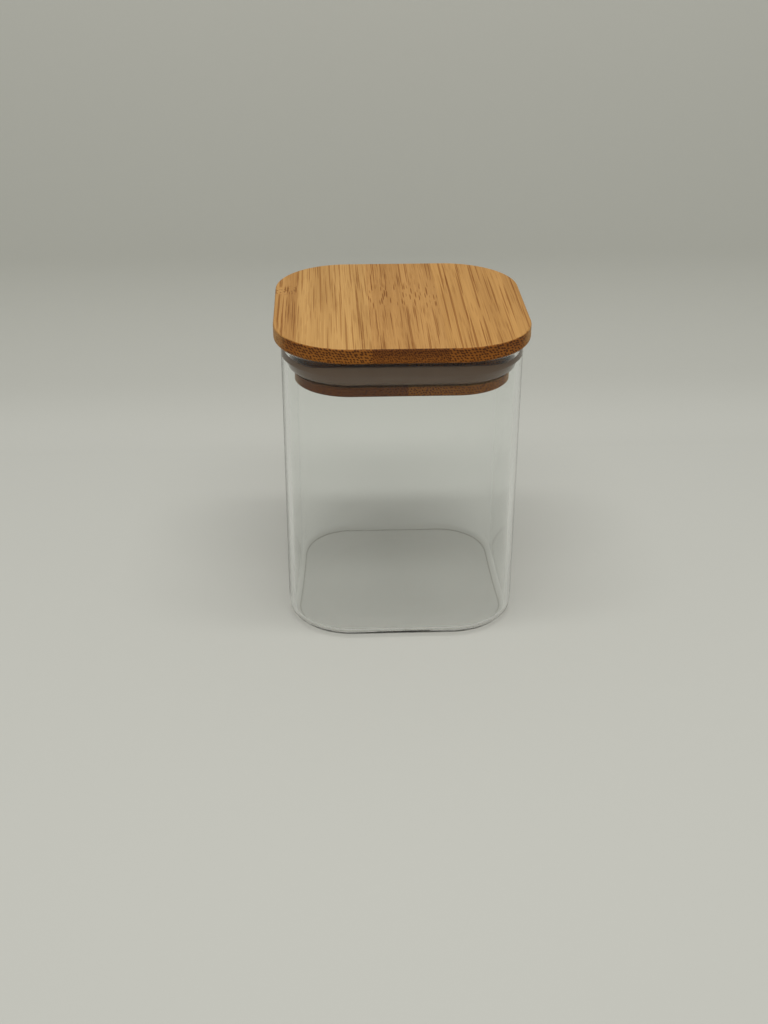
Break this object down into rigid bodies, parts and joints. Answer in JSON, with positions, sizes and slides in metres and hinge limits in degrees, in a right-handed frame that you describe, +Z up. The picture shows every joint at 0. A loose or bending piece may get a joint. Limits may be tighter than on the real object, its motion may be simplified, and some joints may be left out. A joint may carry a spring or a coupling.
{
  "type": "spice jar",
  "caption": "Square clear glass jar with rounded corners, a flat bamboo lid that lifts off, and a plug under the lid with a flared silicone seal.",
  "frame": {"origin": "centre of the footprint, on the surface that the jar stands on", "axes": "+Z up; -Y towards the front of the picture; the bamboo's grain runs along Y and its glue joints are planes of constant X"},
  "size_m": [0.074, 0.074, 0.095],
  "materials": {
    "glass": "clear, polished",
    "silicone": "translucent, satin",
    "lid_bamboo": "oiled bamboo, satin",
    "plug_bamboo": "oiled bamboo, satin"
  },
  "bodies": {
    "jar": {"glass_jar": "glass"},
    "lid": {"silicone_seal": "silicone", "lid_stave_far_left": "lid_bamboo", "lid_stave_left": "lid_bamboo", "lid_stave_middle": "lid_bamboo", "lid_stave_right": "lid_bamboo", "lid_stave_far_right": "lid_bamboo", "plug_stave_far_left": "plug_bamboo", "plug_stave_left": "plug_bamboo", "plug_stave_right": "plug_bamboo", "plug_stave_far_right": "plug_bamboo"}
  },
  "joints": [
    {"name": "lid_lift", "type": "slide", "parent": "jar", "child": "lid", "axis": [0, 0, 1], "range_m": [0, 0.06]}
  ]
}
